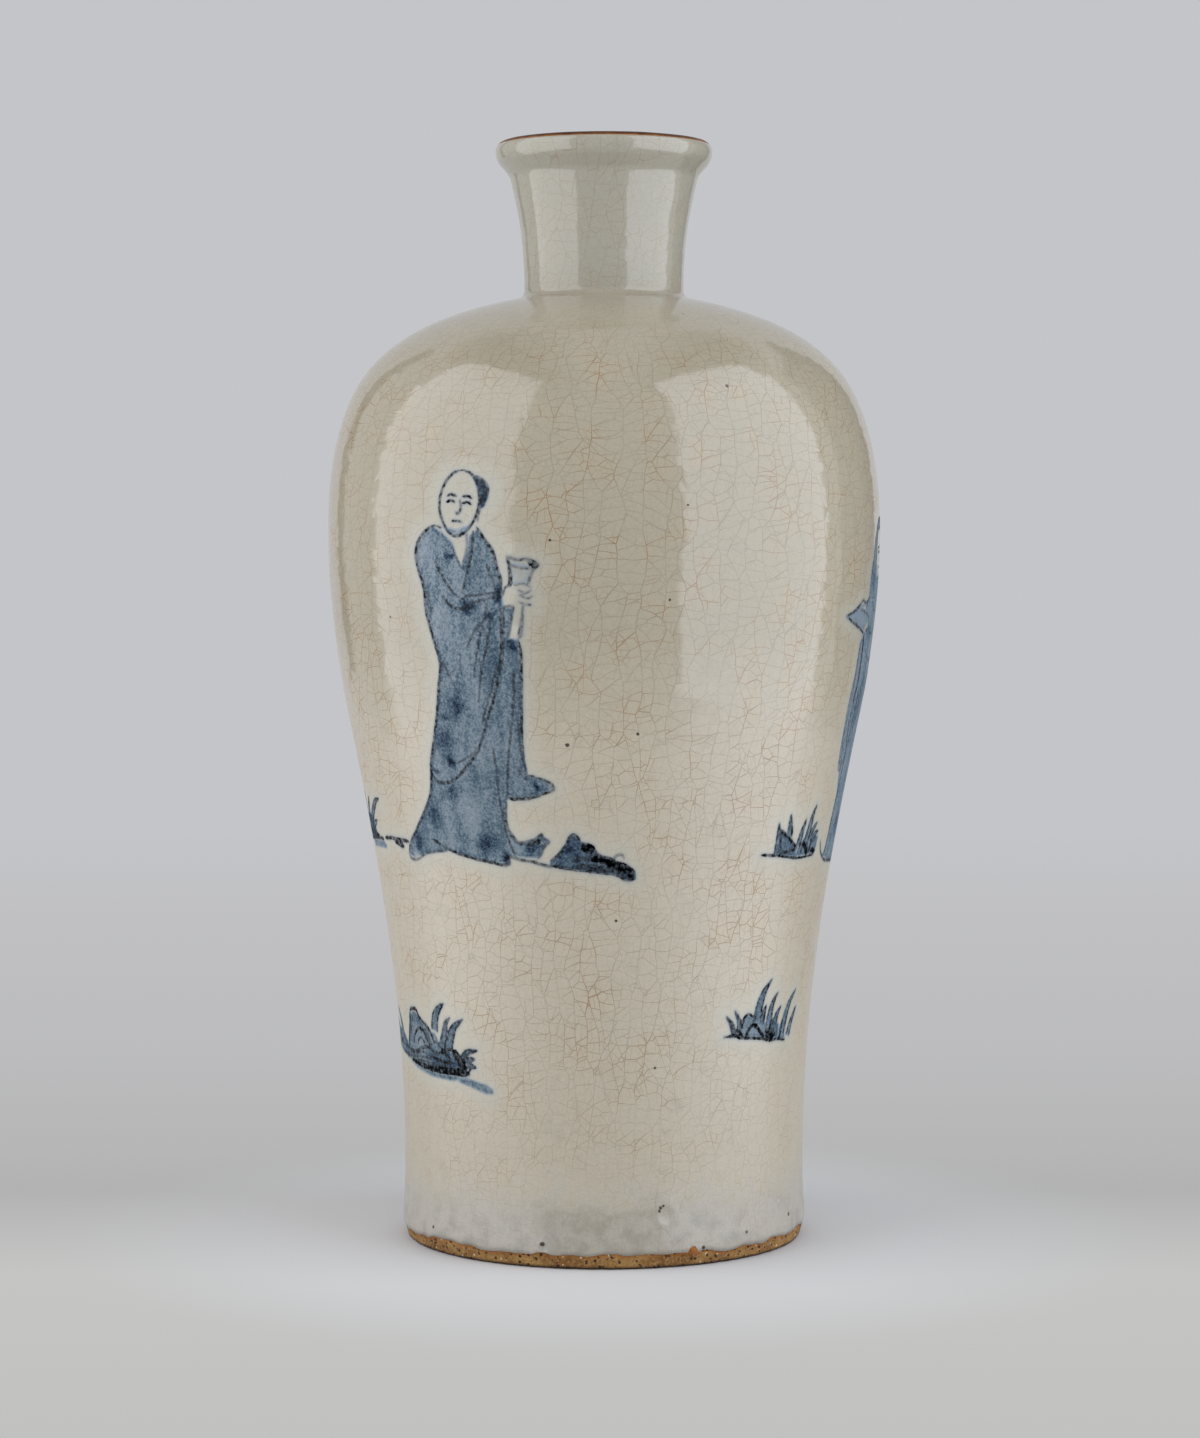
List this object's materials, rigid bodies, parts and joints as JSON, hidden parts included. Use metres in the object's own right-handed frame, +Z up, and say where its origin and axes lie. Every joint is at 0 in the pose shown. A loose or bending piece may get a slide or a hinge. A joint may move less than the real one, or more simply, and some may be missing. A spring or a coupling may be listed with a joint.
{
  "type": "meiping vase",
  "caption": "High-shouldered stoneware bottle vase with a short flared neck, crackled grey-cream glaze, cobalt figure painting, brown rim and bare foot",
  "frame": {"origin": "Centre of the foot, on the surface that the vase stands on.", "axes": "+Z up along the axis of the vase; -Y is the side that the picture shows."},
  "size_m": [0.1516, 0.1516, 0.3],
  "materials": {
    "stoneware": "bare coarse buff-brown fired clay",
    "slip": "smooth fired slip",
    "crackle_glaze": "glossy grey-cream glaze with stained crackle",
    "iron_rim": "glossy iron-brown dressing"
  },
  "bodies": {
    "root": {"lower_body": "stoneware", "belly_seam": "slip", "upper_body": "stoneware", "neck_seam": "slip", "neck": "stoneware", "outer_glaze": "crackle_glaze", "inner_glaze": "crackle_glaze", "rim_dressing": "iron_rim"}
  },
  "joints": []
}
